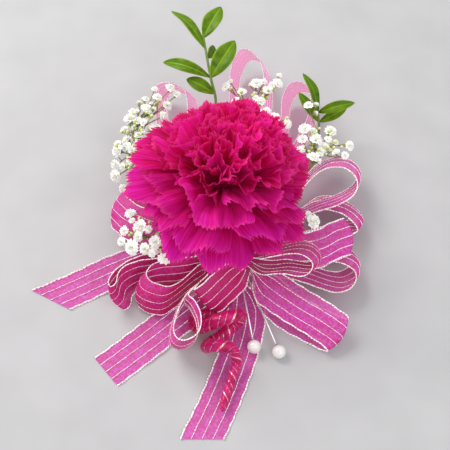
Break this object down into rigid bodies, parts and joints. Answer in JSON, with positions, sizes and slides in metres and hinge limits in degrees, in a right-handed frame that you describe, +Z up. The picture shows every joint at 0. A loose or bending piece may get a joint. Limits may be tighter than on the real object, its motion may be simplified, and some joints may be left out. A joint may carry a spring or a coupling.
{
  "type": "carnation corsage",
  "caption": "Pin-on corsage of one double carnation with leafy sprigs and baby's breath, gathered in a bow of sheer striped ribbon over a curled, ribbon-wrapped stem.",
  "frame": {"origin": "centre of the bounding box's foot, on the surface that the corsage lies on", "axes": "+Z up from the surface, through the back of the corsage to its flower; +Y along its length, from the curled stem to the tallest leaves; +X to the right of someone who looks at the flower with the leaves upwards"},
  "size_m": [0.1466, 0.196, 0.0728],
  "materials": {
    "petal": "soft matt petal",
    "leaf": "satin leaf",
    "babys_breath": "matt floret",
    "floral_tape": "waxed crepe paper",
    "ribbon": "sheer woven ribbon with metallic stripes",
    "pin_steel": "polished",
    "pearl": "pearlescent"
  },
  "bodies": {
    "root": {"babys_breath_left_front": "babys_breath", "babys_breath_left_rear": "babys_breath", "babys_breath_rear": "babys_breath", "babys_breath_right": "babys_breath", "babys_breath_right_front": "babys_breath", "bow_tie": "ribbon", "carnation_calyx": "leaf", "carnation_petals": "petal", "floral_tape": "floral_tape", "leaf_sprig_right": "leaf", "leaf_sprig_tall": "leaf", "pin_pearl_left": "pearl", "pin_pearl_right": "pearl", "pin_shaft_left": "pin_steel", "pin_shaft_right": "pin_steel", "ribbon_loop_back_centre": "ribbon", "ribbon_loop_back_left": "ribbon", "ribbon_loop_back_right": "ribbon", "ribbon_loop_front_centre": "ribbon", "ribbon_loop_front_drop": "ribbon", "ribbon_loop_left_front": "ribbon", "ribbon_loop_left_middle": "ribbon", "ribbon_loop_left_rear": "ribbon", "ribbon_loop_right_face": "ribbon", "ribbon_loop_right_front": "ribbon", "ribbon_loop_right_lower": "ribbon", "ribbon_loop_right_rear": "ribbon", "ribbon_loop_right_top": "ribbon", "ribbon_loop_right_upper": "ribbon", "ribbon_tail_front": "ribbon", "ribbon_tail_front_left": "ribbon", "ribbon_tail_left": "ribbon", "stem_core": "floral_tape", "stem_wrap": "ribbon"}
  },
  "joints": []
}
